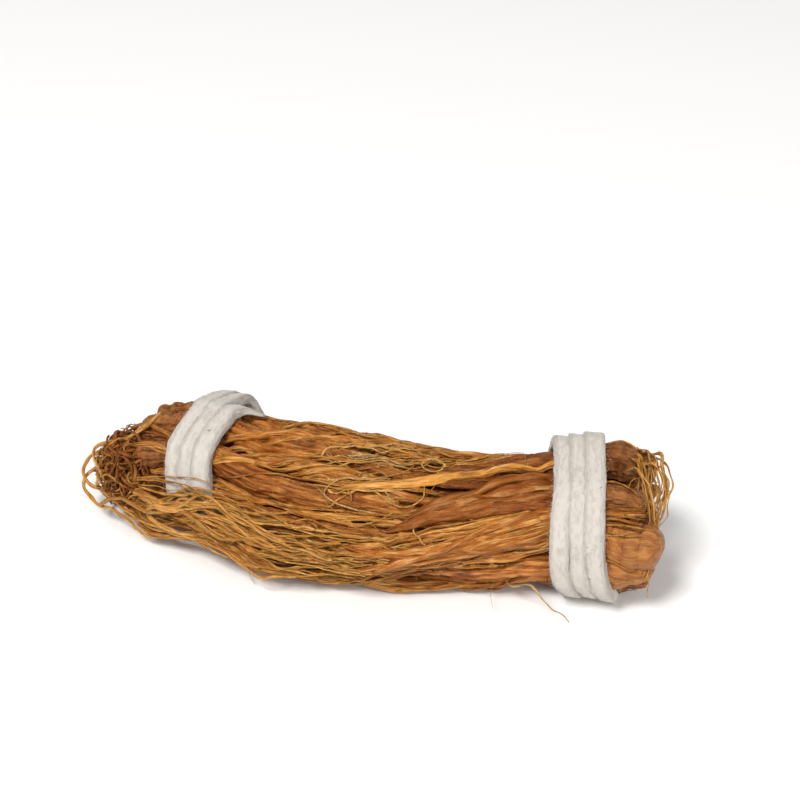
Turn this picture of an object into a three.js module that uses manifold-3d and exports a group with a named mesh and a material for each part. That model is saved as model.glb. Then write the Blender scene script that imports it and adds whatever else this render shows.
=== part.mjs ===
// A bundle of red ginseng roots, steamed and dried, tied near both ends with white cotton cord.
// The thicker roots have their heads at the right end and the others at the left, so that the
// thin tails lie between the thick bodies. Millimetres, +Z up, the bundle along X, resting on z = 0.
import * as THREE from 'three';
import { mergeVertices } from 'three/addons/utils/BufferGeometryUtils.js';
import Module from 'manifold-3d';

// Driving dimensions
const ROOTS = 20;
const LEFT_HEADED = [1, 3, 5, 9, 13, 16, 17, 19]; // the others have their heads at the right
const LEFT_TIE_X = -45.5; // each tie's centre
const RIGHT_TIE_X = 49;
const CORD_DIAMETER = 4.3;
const TURNS = 3; // times that each tie passes over the front
// Half width and half height of the roots inside each tie, where the bundle is thickest and at
// the heads' ends.
const LEFT_WAIST = { y: 16.8, z: 14.4 };
const RIGHT_WAIST = { y: 15.7, z: 13.3 };
const BELLY = { y: 23, z: 18 };
const BELLY_X = -20;
const LEFT_END = { y: 17.4, z: 13.6 };
const RIGHT_END = { y: 19.6, z: 16.8 };
const END_X = 72; // where the longest heads end
const STAND_BACK = 5; // how far the right end's highest heads end short of its lowest
const LOOPING_ROOT = 14; // its branches run on past the left end and loop back under the front
const LOOP_X = 79.5; // how far out the longest of them reaches
const BOW = 8; // how far the bundle stands forward of the ties at BOW_X
const BOW_X = -12;
const STRAIGHT_AT = 16; // how far beyond a tie the bow has straightened out
const LEFT_YAW = -0.2; // how far each tie is turned, and leans, across the bundle
const RIGHT_YAW = 0.31;
const LEFT_LEAN = -0.45;
const RIGHT_LEAN = -0.17;
const GAP = 0.6; // clear space between neighbouring roots
const REST_CUT = 0.5; // how much of each cord the table presses flat
const STEP = 8; // spacing of the stations that the roots are laid out at

const CORD_RADIUS = CORD_DIAMETER / 2;
const CORD_LIFT = CORD_RADIUS - REST_CUT; // height of the cord's centre where it lies on the table
const UNDER_TIES = CORD_LIFT + CORD_RADIUS + 0.4; // lowest that a root reaches inside a tie
const STATION_COUNT = 2 * Math.ceil(END_X / STEP) + 1;
const stationX = (k) => (k - (STATION_COUNT - 1) / 2) * STEP;
const stationOf = (x) => x / STEP + (STATION_COUNT - 1) / 2;

// A repeatable random number from 0 to 1.
let seed = 163;
function random() {
  seed = (seed + 0x6d2b79f5) | 0;
  let t = Math.imul(seed ^ (seed >>> 15), 1 | seed);
  t = (t + Math.imul(t ^ (t >>> 7), 61 | t)) ^ t;
  return ((t ^ (t >>> 14)) >>> 0) / 4294967296;
}
const between = (low, high) => low + (high - low) * random();
const mix = THREE.MathUtils.lerp;
const smooth = THREE.MathUtils.smoothstep;

const tieX = (side) => (side < 0 ? LEFT_TIE_X : RIGHT_TIE_X);
const within = (x) => Math.min(1, (x - BOW_X) / (tieX(x - BOW_X) - BOW_X)); // 1 at a tie and beyond
const pastTie = (x) => Math.max(0, Math.abs(x) - Math.abs(tieX(x)));

function halfSize(x, way) {
  const [waist, end, fall] = x < BELLY_X ? [LEFT_WAIST, LEFT_END, BELLY_X - LEFT_TIE_X - 6]
    : [RIGHT_WAIST, RIGHT_END, 50];
  if (!pastTie(x)) return mix(BELLY[way], waist[way], smooth(Math.abs(x - BELLY_X), 0, fall));
  return mix(waist[way], end[way], smooth(Math.abs(x), Math.abs(tieX(x)) + 8, END_X));
}

// The bundle's own line. It bows towards -Y, and rises where the cords run under it.
const axisY = (x) => BOW * (within(x) ** 2 - 1)
  + (2 * BOW * (pastTie(x) - pastTie(x) ** 2 / (2 * STRAIGHT_AT))) / Math.abs(tieX(x) - BOW_X);
const axisZ = (x) => UNDER_TIES * within(x) ** 2 * (1 - smooth(pastTie(x), 4, 18)) + halfSize(x, 'z');
// The lowest that a root may reach at x: raised inside the ties, where the cord runs under it.
const floorAt = (x) => UNDER_TIES * (1 - smooth(Math.abs(Math.abs(x) - Math.abs(tieX(x))), 10, 22));

// Head outlines, as radius against the distance from the tip: a rounded end whose stem has
// broken off, a stem stub over a neck, and a knobby crown with the scars of several stems.
const HEADS = [
  [[0, 0], [0.8, 0.62], [2.6, 1.02], [5.6, 1.2], [10, 1.08]],
  [[0, 0], [0.9, 0.5], [2.8, 0.68], [4.4, 0.66], [7.4, 1.14], [10, 1.08]],
  [[0, 0], [0.6, 0.66], [2.2, 0.96], [3.6, 0.8], [5.4, 1.12], [7.2, 0.96], [9.5, 1.1]],
];

// Strands: the main stems and their branches, each laid out as a row of discs across X.
function mainStrand(i) {
  const side = LEFT_HEADED.includes(i) ? -1 : 1;
  const turn = i * Math.PI * (3 - Math.sqrt(5));
  const out = Math.sqrt((i + 0.5) / ROOTS);
  const back = side < 0 ? 0 : STAND_BACK * (1 + out * Math.sin(turn)) / 2;
  const headX = side * (END_X - back - between(0, 4));
  const length = between(106, 130);
  const body = side < 0 ? between(2.9, 4) : between(3.5, 4.9);
  const shape = [
    ...HEADS[Math.floor(between(0, HEADS.length))], [15, 1.04], [22, 0.95],
    [34, 1.02], [0.42 * length, 0.92], [0.6 * length, 0.66], [0.8 * length, 0.36],
    [length - 3, 0.2], [length, 0],
  ];
  return strand(headX, side, shape, body, Math.cos(turn) * out, Math.sin(turn) * out);
}

function branchStrand(parent, thickness, from, length) {
  const start = parent.headX - parent.side * from;
  const radius = thickness * parent.radiusAt(start);
  const shape = [[0, 0], [0.5, 1], [6, 1.05], [0.5 * length, 0.75], [length - 2, 0.4], [length, 0]];
  const turn = Math.atan2(parent.out.z, parent.out.y) + between(-1.3, 1.3);
  const child = strand(start, parent.side, shape, radius, Math.cos(turn), Math.sin(turn));
  child.parent = parent;
  return child;
}

function strand(headX, side, shape, scale, outY, outZ) {
  const profile = shape.map(([along, radius]) => [headX - side * along, radius * scale]);
  const ends = [headX, headX - side * shape[shape.length - 1][0]].sort((a, b) => a - b);
  const radiusAt = (x) => {
    for (let i = 1; i < profile.length; i++) {
      const [a, ra] = profile[i - 1];
      const [b, rb] = profile[i];
      if ((x - a) * (x - b) <= 0) return mix(ra, rb, (x - a) / (b - a));
    }
    return 0;
  };
  return {
    headX, side, profile, radiusAt, out: { y: outY, z: outZ },
    first: Math.max(0, Math.floor(stationOf(ends[0]))),
    last: Math.min(STATION_COUNT - 1, Math.ceil(stationOf(ends[1]))),
    y: new Float64Array(STATION_COUNT), z: new Float64Array(STATION_COUNT),
    widest: new Float64Array(STATION_COUNT),
  };
}

const startOf = (s) => (s.side > 0 ? s.last : s.first);

// How far a branch stands clear of its parent: not at all where it leaves, fully three stations on.
function clearance(a, b, k) {
  const child = a.parent === b ? a : b.parent === a ? b : null;
  return child ? Math.min(1, Math.abs(k - startOf(child)) / 3) : 1;
}

function placeAtStart(strands) {
  for (const s of strands) {
    for (let k = s.first; k <= s.last; k++) {
      const x = stationX(k);
      for (let d = -1; d <= 1; d += 0.25) {
        s.widest[k] = Math.max(s.widest[k], s.radiusAt(x + d * STEP * 0.5));
      }
      s.widest[k] = Math.max(s.widest[k], 0.4);
      if (s.parent) {
        const reach = (s.parent.widest[k] + s.widest[k]) * clearance(s, s.parent, k);
        s.y[k] = s.parent.y[k] + s.out.y * reach;
        s.z[k] = s.parent.z[k] + s.out.z * reach;
      } else {
        s.y[k] = s.out.y * halfSize(x, 'y') * 0.85;
        s.z[k] = s.out.z * halfSize(x, 'z') * 0.85;
      }
    }
  }
}

// Tested at station k, and half way to the next one when half is 0.5.
function pushApart(here, k, half, share) {
  const next = Math.min(k + 1, STATION_COUNT - 1);
  for (let i = 0; i < here.length; i++) {
    for (let j = i + 1; j < here.length; j++) {
      const a = here[i];
      const b = here[j];
      const dy = mix(b.y[k], b.y[next], half) - mix(a.y[k], a.y[next], half);
      const dz = mix(b.z[k], b.z[next], half) - mix(a.z[k], a.z[next], half);
      const far = Math.hypot(dy, dz) || 1e-6;
      const wide = mix(a.widest[k] + b.widest[k], a.widest[next] + b.widest[next], half);
      const need = (wide + GAP) * clearance(a, b, k);
      if (far >= need) continue;
      const push = share * (need - far) / far;
      const heavy = a.widest[k] ** 2 / (a.widest[k] ** 2 + b.widest[k] ** 2);
      for (const at of half ? [k, next] : [k]) {
        a.y[at] -= dy * push * (1 - heavy);
        a.z[at] -= dz * push * (1 - heavy);
        b.y[at] += dy * push * heavy;
        b.z[at] += dz * push * heavy;
      }
    }
  }
}

function holdIn(s, k, share) {
  const x = stationX(k);
  const r = s.widest[k];
  const out = Math.hypot(s.y[k] / (halfSize(x, 'y') - r), s.z[k] / (halfSize(x, 'z') - r));
  if (out > 1) {
    const back = 1 - share * (1 - 1 / out);
    s.y[k] *= back;
    s.z[k] *= back;
  }
  s.z[k] = Math.max(s.z[k], floorAt(x) + r - axisZ(x));
}

function straighten(s, share) {
  for (const way of [s.y, s.z]) {
    for (let k = s.first + 1; k < s.last; k++) {
      way[k] += share * ((way[k - 1] + way[k + 1]) / 2 - way[k]);
    }
    if (s.last - s.first > 1) {
      way[s.first] += share * 0.5 * (2 * way[s.first + 1] - way[s.first + 2] - way[s.first]);
      way[s.last] += share * 0.5 * (2 * way[s.last - 1] - way[s.last - 2] - way[s.last]);
    }
  }
  if (s.parent) {
    s.y[startOf(s)] = s.parent.y[startOf(s)];
    s.z[startOf(s)] = s.parent.z[startOf(s)];
  }
}

// Settles the strands against each other as a hand does when it gathers and ties the bundle.
function gather(strands) {
  const PASSES = 900;
  placeAtStart(strands);
  for (let pass = 0; pass < PASSES; pass++) {
    const late = pass / PASSES;
    for (const s of strands) straighten(s, late < 0.75 ? 0.35 : 0.06);
    for (let k = 0; k < STATION_COUNT; k++) {
      const here = strands.filter((s) => k >= s.first && k <= s.last);
      for (const s of here) holdIn(s, k, late < 0.75 ? 0.4 : 0.05);
      pushApart(here, k, 0, 0.5);
      pushApart(here.filter((s) => k < s.last), k, 0.5, 0.3);
    }
  }
}

function centreAt(s, x) {
  const at = THREE.MathUtils.clamp(stationOf(x), s.first, s.last);
  const k = Math.min(Math.floor(at), s.last - 1);
  return {
    y: axisY(x) + mix(s.y[k], s.y[k + 1], at - k),
    z: axisZ(x) + mix(s.z[k], s.z[k + 1], at - k),
  };
}

// Solids
const wasm = await Module();
wasm.setup();

function solidOf(geometry) {
  const bare = geometry.index ? geometry.toNonIndexed() : geometry.clone();
  bare.deleteAttribute('normal');
  bare.deleteAttribute('uv');
  const merged = mergeVertices(bare, 1e-4);
  return new wasm.Manifold(new wasm.Mesh({
    numProp: 3,
    vertProperties: merged.attributes.position.array,
    triVerts: new Uint32Array(merged.index.array),
  }));
}

function geometryOf(solid) {
  const { numProp, numVert, vertProperties, triVerts } = solid.getMesh();
  const corners = new Float32Array(numVert * 3);
  for (let i = 0; i < numVert; i++) {
    corners.set(vertProperties.subarray(i * numProp, i * numProp + 3), i * 3);
  }
  const geometry = new THREE.BufferGeometry();
  geometry.setAttribute('position', new THREE.BufferAttribute(corners, 3));
  geometry.setIndex(new THREE.BufferAttribute(triVerts, 1));
  geometry.computeVertexNormals();
  return geometry;
}

// A strand is turned as a lathe profile along X, and each section is slid onto the strand's line.
function strandSolid(s, sides) {
  const HEAD = 12; // the profile's own points are kept this far from the thick end
  const [low, high] = [s.profile[0][0], s.profile[s.profile.length - 1][0]].sort((a, b) => a - b);
  const cuts = s.profile.map(([x]) => x)
    .filter((x) => Math.abs(x - s.headX) < HEAD || x === low || x === high);
  for (let k = 0; k < STATION_COUNT; k++) {
    const x = stationX(k);
    if (x > low && x < high && !cuts.some((c) => Math.abs(c - x) < STEP / 4)) cuts.push(x);
  }
  const points = cuts.sort((a, b) => a - b).map((x, i) => {
    const closed = i === 0 || i === cuts.length - 1;
    return new THREE.Vector2(closed ? 0 : Math.max(0.35, s.radiusAt(x)), x);
  });
  const geometry = new THREE.LatheGeometry(points, sides);
  geometry.rotateZ(-Math.PI / 2); // the lathe's Y axis to +X
  const position = geometry.attributes.position;
  for (let i = 0; i < position.count; i++) {
    const x = position.getX(i);
    const centre = centreAt(s, x);
    position.setXYZ(i, x, position.getY(i) + centre.y, position.getZ(i) + centre.z);
  }
  return solidOf(geometry);
}

// A round section swept along a smooth curve through the points.
function sweep(points, radius, sides, step) {
  const path = new THREE.CatmullRomCurve3(points, false, 'centripetal');
  path.arcLengthDivisions = 1200;
  const section = new THREE.Shape(Array.from({ length: sides }, (_, i) => {
    const angle = ((i + 0.5) / sides) * 2 * Math.PI;
    return new THREE.Vector2(radius * Math.cos(angle), radius * Math.sin(angle));
  }));
  const steps = Math.round(path.getLength() / step);
  return solidOf(new THREE.ExtrudeGeometry(section, { steps, bevelEnabled: false, extrudePath: path }));
}

const tableTop = new THREE.BoxGeometry(400, 400, 100).translate(0, 0, -50);
const table = solidOf(tableTop);

const strands = [];
for (let i = 0; i < ROOTS; i++) strands.push(mainStrand(i));
const mains = [...strands];
mains.forEach((root, i) => {
  root.branches = [
    [0.52, between(48, 60), between(48, 62)],
    [0.42, between(64, 78), between(34, 44)],
    [0.24, between(34, 44), between(34, 46)],
  ].map(([thickness, from, length]) => {
    const toEnd = root.headX - from + END_X;
    return branchStrand(root, thickness, from, i === LOOPING_ROOT ? toEnd : length);
  });
  strands.push(...root.branches);
});
gather(strands);

const skin = new THREE.MeshStandardMaterial({ color: 0xa4682f, roughness: 0.55, metalness: 0 });
const cotton = new THREE.MeshStandardMaterial({ color: 0xe9e4dc, roughness: 0.95, metalness: 0 });

const bundle = new THREE.Group();
function addMesh(name, solid, material) {
  const mesh = new THREE.Mesh(geometryOf(solid), material);
  mesh.name = name;
  bundle.add(mesh);
}

// The distance from the bundle's line to the tight loop round the roots, at x and the angle phi
// from the front over the top.
function loopRadius(phi, x) {
  const FACINGS = 48;
  let tight = Infinity;
  for (let i = 0; i < FACINGS; i++) {
    const facing = (i / FACINGS) * 2 * Math.PI;
    const across = Math.cos(phi - facing);
    if (across < 0.2) continue;
    let support = -Infinity;
    for (const near of [x - 3.4, x - 1.7, x, x + 1.7, x + 3.4]) {
      for (const s of strands) {
        const r = s.radiusAt(near);
        if (!r) continue;
        const c = centreAt(s, near);
        const y = c.y - axisY(x);
        const z = c.z - axisZ(x);
        support = Math.max(support, -y * Math.cos(facing) + z * Math.sin(facing) + r);
      }
    }
    tight = Math.min(tight, support / across);
  }
  return tight;
}

// A point on the roots' surface, or lift above it, for something of the given radius.
function surfacePoint(phi, x, radius, lift) {
  const hold = THREE.MathUtils.clamp(x, 5 - END_X, END_X - 5);
  const from = loopRadius(phi, hold) + radius + 0.5 + lift;
  const z = axisZ(x) + from * Math.sin(phi);
  return new THREE.Vector3(x, axisY(x) - from * Math.cos(phi), Math.max(z, radius - REST_CUT));
}

// One long rootlet, from its branch's tip round the left end, over the tie and onto the front.
function loopSolid(branch, n) {
  const RADIUS = 0.6;
  const OVER_TIE = CORD_DIAMETER + 1.2;
  const tip = centreAt(branch, 1 - END_X);
  const phiOut = Math.atan2(tip.z - axisZ(END_X), axisY(END_X) - tip.y);
  const phiBack = THREE.MathUtils.degToRad(-6 - 15 * n);
  const reach = LOOP_X - RADIUS - 3 * n;
  const turn = (share, x) => surfacePoint(mix(phiOut, phiBack, share), x, RADIUS, 0);
  return sweep([
    new THREE.Vector3(1 - END_X, tip.y, tip.z),
    new THREE.Vector3(2 - reach, tip.y * 1.05, tip.z),
    turn(0.35, -reach),
    turn(0.75, 1 - reach),
    turn(1, 7 - reach),
    surfacePoint(phiBack, -62, RADIUS, OVER_TIE),
    surfacePoint(phiBack, -50, RADIUS, OVER_TIE),
    surfacePoint(phiBack, -38, RADIUS, OVER_TIE),
    surfacePoint(phiBack - 0.05, -28, RADIUS, 0.4),
    surfacePoint(phiBack - 0.12, -16, RADIUS, 0.2),
  ], RADIUS, 5, 4.5);
}

const counts = { right: 0, left: 0 };
mains.forEach((root, i) => {
  let solid = strandSolid(root, 8);
  root.branches.forEach((branch, b) => {
    solid = solid.add(strandSolid(branch, b < 2 ? 6 : 4));
    if (i === LOOPING_ROOT) solid = solid.add(loopSolid(branch, b));
  });
  const side = root.side > 0 ? 'right' : 'left';
  counts[side] += 1;
  addMesh(`root_${side}_${String(counts[side]).padStart(2, '0')}`, solid.subtract(table), skin);
});

// Ties: one length of cord each, wound round the gathered roots from low on the back, with its
// first end left beside the turns. x is measured from the middle of the tie.
function tiePoint(side, degrees, x, lift) {
  const phi = THREE.MathUtils.degToRad(degrees);
  const waist = side < 0 ? LEFT_WAIST : RIGHT_WAIST;
  const [yaw, lean] = side < 0 ? [LEFT_YAW, LEFT_LEAN] : [RIGHT_YAW, RIGHT_LEAN];
  const at = tieX(side) + x + yaw * Math.cos(phi) * waist.y + lean * Math.sin(phi) * waist.z;
  const point = surfacePoint(phi, at, CORD_RADIUS, lift);
  const onTable = smooth(-Math.sin(phi), 0.8, 0.95); // the weight presses the cord onto the table
  point.z = mix(point.z, CORD_LIFT, onTable);
  return point;
}

function tieRoute(side, lastDegrees) {
  const PITCH = CORD_DIAMETER + 0.3;
  const FIRST = 235;
  const INTERVAL = 20;
  const along = (degrees) => ((degrees - FIRST) / 360 - (TURNS - 0.1) / 2) * PITCH;
  const route = [
    tiePoint(side, 210, along(FIRST) - 8.5, 0),
    tiePoint(side, 213, along(FIRST) - 4.5, 0),
    tiePoint(side, 222, along(FIRST) - 1, 0),
  ];
  for (let degrees = FIRST; degrees <= lastDegrees; degrees += INTERVAL) {
    route.push(tiePoint(side, degrees, along(degrees), 0));
  }
  return { route, x: along(lastDegrees) };
}

function tieSolid(route) {
  return sweep(route, CORD_RADIUS, 8, 1.25 * CORD_DIAMETER).subtract(table);
}

// The left tie's last turn strays inwards over the top of the roots.
function leftTie() {
  const { route, x } = tieRoute(-1, 1160);
  route.push(
    tiePoint(-1, 1178, x + 1, 0),
    tiePoint(-1, 1190, x + 4, 0),
    tiePoint(-1, 1195, x + 7.5, 0),
    tiePoint(-1, 1197, x + 10.5, 0),
  );
  return tieSolid(route);
}

// The right tie's last end crosses back over the turns behind and is tucked beside them.
function rightTie() {
  const ACROSS = TURNS * (CORD_DIAMETER + 0.3);
  const OVER = CORD_DIAMETER + 0.4;
  const { route, x } = tieRoute(1, 1220);
  route.push(
    tiePoint(1, 1238, x, OVER * 0.6),
    tiePoint(1, 1251, x - ACROSS * 0.2, OVER),
    tiePoint(1, 1259, x - ACROSS * 0.6, OVER),
    tiePoint(1, 1265, x - ACROSS, OVER),
    tiePoint(1, 1269, x - ACROSS - 4.5, OVER * 0.4),
  );
  return tieSolid(route);
}

addMesh('tie_left', leftTie(), cotton);
addMesh('tie_right', rightTie(), cotton);

// The origin is under the middle of the bundle's box, on the surface that it lies on.
const box = new THREE.Box3().setFromObject(bundle);
const middle = box.getCenter(new THREE.Vector3());
bundle.position.set(-middle.x, -middle.y, -box.min.z);

export default bundle;
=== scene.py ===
"""A tied bundle of red ginseng roots: twenty steamed and dried roots laid head to tail, and two ties
of white cotton cord. Metres, +Z up, the bundle along X, lying on z = 0."""

import math

import bpy
import numpy as np
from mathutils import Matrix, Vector
from mathutils.bvhtree import BVHTree


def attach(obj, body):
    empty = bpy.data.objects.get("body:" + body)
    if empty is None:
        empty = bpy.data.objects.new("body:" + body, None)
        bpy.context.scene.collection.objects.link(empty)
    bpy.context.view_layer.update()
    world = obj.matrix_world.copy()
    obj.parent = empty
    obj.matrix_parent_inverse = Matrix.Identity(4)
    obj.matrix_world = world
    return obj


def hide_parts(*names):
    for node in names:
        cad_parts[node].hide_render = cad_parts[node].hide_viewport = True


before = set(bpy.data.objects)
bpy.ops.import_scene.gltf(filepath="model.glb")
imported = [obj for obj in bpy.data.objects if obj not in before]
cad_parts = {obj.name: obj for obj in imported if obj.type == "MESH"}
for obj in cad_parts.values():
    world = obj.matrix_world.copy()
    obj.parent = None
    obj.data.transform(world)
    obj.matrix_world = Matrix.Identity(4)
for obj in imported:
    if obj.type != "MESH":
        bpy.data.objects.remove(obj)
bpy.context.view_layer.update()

# --------------------------------------------------------------------
# The roots' bodies: ginseng steamed until it turns red brown, then dried, so that the skin shrinks
# into furrows along its length. Each body and its thick branches come from one solid of the
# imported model, rounded off and furrowed here.
MM = 0.001
VOXEL = 0.42 * MM
FURROW_DEPTH = 0.7 * MM
LUMP_HEIGHT = 0.45 * MM
RING_HEIGHT = 0.22 * MM
PRESS = 0.35 * MM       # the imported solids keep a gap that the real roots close
HEAD_SWELL = 0.5 * MM
RINGED_LENGTH = 16 * MM
FULL_RADIUS = 3.4 * MM  # from this thickness on, a root's furrows have their whole depth
# How far the big heads swell and rise, in mm, and how much darker some roots get to the right.
BIG_HEADS = {"root_right_09": (1.1, 1.7), "root_right_03": (1.7, -1.0)}
DARKER = {"root_left_08": 1.0, "root_right_10": 0.8, "root_right_08": 1.1}


def coordinates(mesh, what="co"):
    values = np.empty(len(mesh.vertices) * 3)
    mesh.vertices.foreach_get(what, values)
    return values.reshape(-1, 3)


def normals(mesh):
    return coordinates(mesh, "normal")


def place(mesh, points):
    mesh.vertices.foreach_set("co", np.asarray(points, np.float32).ravel())
    mesh.update()


def edge_ends(mesh):
    ends = np.empty(len(mesh.edges) * 2, np.int64)
    mesh.edges.foreach_get("vertices", ends)
    return ends.reshape(-1, 2)


def spread(values, ends, times):
    """Averages each point's values with its neighbours', over and over."""
    count = len(values)
    share = np.bincount(ends.ravel(), minlength=count)
    share[share == 0] = 1
    wide = values.reshape(count, -1)
    for _ in range(times):
        near = [np.bincount(ends[:, 0], column[ends[:, 1]], count)
                + np.bincount(ends[:, 1], column[ends[:, 0]], count) for column in wide.T]
        wide = 0.5 * wide + 0.5 * np.stack(near, 1) / share[:, None]
    return wide.reshape(values.shape)


def unit(vectors):
    return vectors / np.maximum(np.linalg.norm(vectors, axis=-1, keepdims=True), 1e-12)


def wander(points, seed):
    """Smooth random values from -1 to 1 that change over a distance of 1, one for each point."""
    cell = np.floor(points).astype(np.int64)
    part = points - cell
    part = part * part * (3 - 2 * part)
    total = np.zeros(len(points))
    for corner in np.ndindex(2, 2, 2):
        at = cell + np.array(corner)
        mixed = at[:, 0] * 374761393 + at[:, 1] * 668265263 + at[:, 2] * 1103515245 + seed * 97463477
        mixed = (mixed ^ (mixed >> 13)) * 1274126177
        value = ((mixed ^ (mixed >> 16)) & 0xFFFF) / 32767.5 - 1
        total += value * np.prod(np.where(corner, part, 1 - part), axis=1)
    return total


def step(values, low, high):
    part = np.clip((values - low) / (high - low), 0, 1)
    return part * part * (3 - 2 * part)


def only(obj):
    bpy.ops.object.select_all(action="DESELECT")
    obj.select_set(True)
    bpy.context.view_layer.objects.active = obj


def store(mesh, name, values):
    kind = "FLOAT_VECTOR" if values.ndim == 2 else "FLOAT"
    attribute = mesh.attributes.new(name, kind, "POINT")
    attribute.data.foreach_set("vector" if values.ndim == 2 else "value",
                               np.asarray(values, np.float32).ravel())


def half_thickness(mesh, points, outward):
    """Half the distance through the root under each point."""
    thinnest, thickest = 0.2 * MM, 5.0 * MM
    tree = BVHTree.FromPolygons(points.tolist(), [tuple(p.vertices) for p in mesh.polygons])
    found = np.full(len(points), thickest)
    for i, (point, normal) in enumerate(zip(points, outward)):
        start = Vector(point - normal * 0.1 * MM)
        distance = tree.ray_cast(start, Vector(-normal), 12 * MM)[3]
        if distance is not None:
            found[i] = distance / 2
    return np.clip(found, thinnest, thickest)


def root_body(node, number):
    """A root's solid with its facets rounded off, and its furrows, lumps and rings raised."""
    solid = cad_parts[node]
    body = bpy.data.objects.new(node + "_body", solid.data.copy())
    bpy.context.collection.objects.link(body)
    only(body)
    bpy.ops.object.mode_set(mode="EDIT")
    bpy.ops.mesh.select_all(action="SELECT")
    bpy.ops.mesh.remove_doubles(threshold=1e-6)
    bpy.ops.object.mode_set(mode="OBJECT")
    remesh = body.modifiers.new("Remesh", "REMESH")
    remesh.mode = "VOXEL"
    remesh.voxel_size = VOXEL
    bpy.ops.object.modifier_apply(modifier="Remesh")
    mesh = body.data
    ends = edge_ends(mesh)
    points = coordinates(mesh)
    for _ in range(3):  # rounds off, and swells again by what rounding off lost
        outward = unit(normals(mesh))
        rounded = spread(points, ends, 5)
        lost = spread(np.sum((points - rounded) * outward, 1), ends, 6)
        points = rounded + outward * lost[:, None]
        place(mesh, points)
    outward = normals(mesh)
    radius = spread(half_thickness(mesh, points, outward), ends, 12)
    outward = unit(spread(outward, ends, 6))
    # Round the root and along it: the direction outward is the same all along a straight root,
    # so a pattern in it runs with the root.
    along = points[:, :1] / MM
    round_it = outward[:, 1:]
    grain = np.hstack([along * 0.09, round_it * 2.6])
    shift = np.array([number * 17.3, 0, 0])
    # Long furrows, small ones between them, lumps, and rings round the head.
    crease_and_shade = np.abs(wander(grain + shift, 1) + 0.35 * wander(grain * [2, 2.4, 2.4] + shift, 2))
    crease_and_shade = 1 - np.clip(crease_and_shade * 2.6, 0, 1)
    small = np.abs(wander(np.hstack([along * 0.2, round_it * 7]) + shift, 3))
    small = 1 - np.clip(small * 2.2, 0, 1)
    lump = wander(np.hstack([along * 0.11, round_it * 1.1]) + shift, 4)
    head_x = points[:, 0].max() if "right" in node else points[:, 0].min()
    from_head = np.abs(points[:, 0] - head_x)
    crown = 1 - step(from_head, RINGED_LENGTH * 0.4, RINGED_LENGTH)
    ring = np.abs(wander(np.hstack([along * 0.75, round_it * 0.8]) + shift, 5))
    ring = 1 - np.clip(ring * 3, 0, 1)
    size = np.clip(radius / FULL_RADIUS, 0, 1) ** 0.75
    flank = 1 - step(np.abs(outward[:, 0]), 0.3, 0.75)  # a broken tip has no furrows, only lumps
    smooth = 1 - 0.95 * crown * (node in BIG_HEADS)
    crease_and_shade = crease_and_shade * flank * smooth
    small = small * flank * smooth
    ring = ring * (0.3 + 0.7 * flank) * smooth
    knob = wander(points / MM * 0.38 + shift, 6)
    height = (LUMP_HEIGHT * (lump * flank + knob * (1 - flank)) - FURROW_DEPTH * crease_and_shade
              - 0.5 * FURROW_DEPTH * small) * size
    height += (PRESS + HEAD_SWELL * crown * ("right" in node)) * size - RING_HEIGHT * ring * crown * size
    swell, rise = BIG_HEADS.get(node, (0, 0))
    points = points + outward * (height + swell * MM * crown)[:, None]
    points += np.outer(crown, np.array((0.8 * swell, 0, rise)) * MM)
    points[:, 2] = np.maximum(points[:, 2], 0)
    place(mesh, points)
    # Painted shade for the furrows and the head's rings, darkest where they are deepest.
    store(mesh, "crease_and_shade", np.clip(0.8 * crease_and_shade + 0.35 * small + 0.5 * ring * crown, 0, 1) * size)
    store(mesh, "fine", 1 - step(radius, 0.7 * MM, 2.3 * MM))
    store(mesh, "crown", crown)
    darker = DARKER.get(node, 0) * step(points[:, 0], 8 * MM, 26 * MM)
    if node == "root_right_10":  # its head stays paler
        darker = darker * (1 - 0.5 * crown)
    store(mesh, "tone", rng.uniform(0.15, 1) - darker)
    on_crown = crown[:, None] * points[:, 1:] / MM * 0.4
    store(mesh, "grain", np.hstack([along * 0.3, round_it * 6 + on_crown]) + shift)
    bpy.ops.object.shade_smooth()
    return body


rng = np.random.default_rng(11)
root_names = sorted(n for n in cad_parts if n.startswith("root_"))
bodies = {name: root_body(name, number) for number, name in enumerate(root_names)}

# --------------------------------------------------------------------
# The skin: steamed and dried ginseng is red brown, satin and a little translucent, and ochre yellow where the
# root is thin.
# Painted shade darkens it down in its furrows, and painted highlights lighten its ridges.


def linear(hex_colour):
    channels = [int(hex_colour[i:i + 2], 16) / 255 for i in (1, 3, 5)]
    return [c / 12.92 if c <= 0.04045 else ((c + 0.055) / 1.055) ** 2.4 for c in channels] + [1]


def add_node(tree, kind, settings=None, **links):
    """Adds a node. A link is a socket, or a plain value, for the input of that name or number."""
    node = tree.nodes.new(kind)
    for key, value in (settings or {}).items():
        setattr(node, key, value)
    for name, value in links.items():
        numbered = name[0] == "i" and name[1:].isdigit()
        socket = node.inputs[int(name[1:]) if numbered else name.replace("_", " ")]
        if isinstance(value, bpy.types.NodeSocket):
            tree.links.new(value, socket)
        else:
            socket.default_value = value
    return node


def new_material(name):
    material = bpy.data.materials.new(name)
    material.use_nodes = True
    return material, material.node_tree, material.node_tree.nodes["Principled BSDF"]


def stored(tree, name, output="Fac"):
    return add_node(tree, "ShaderNodeAttribute", {"attribute_name": name}).outputs[output]


def noise(vector, scale, detail):
    return add_node(vector.id_data, "ShaderNodeTexNoise", Vector=vector, Scale=scale,
                    Detail=detail).outputs[0]


def mixed(share, first, second):
    return add_node(share.id_data, "ShaderNodeMix", {"data_type": "RGBA"}, i0=share, i6=first,
                    i7=second).outputs[2]


def ranged(value, low, high, to_low=0.0, to_high=1.0):
    return add_node(value.id_data, "ShaderNodeMapRange", Value=value, From_Min=low, From_Max=high,
                    To_Min=to_low, To_Max=to_high).outputs[0]


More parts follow.
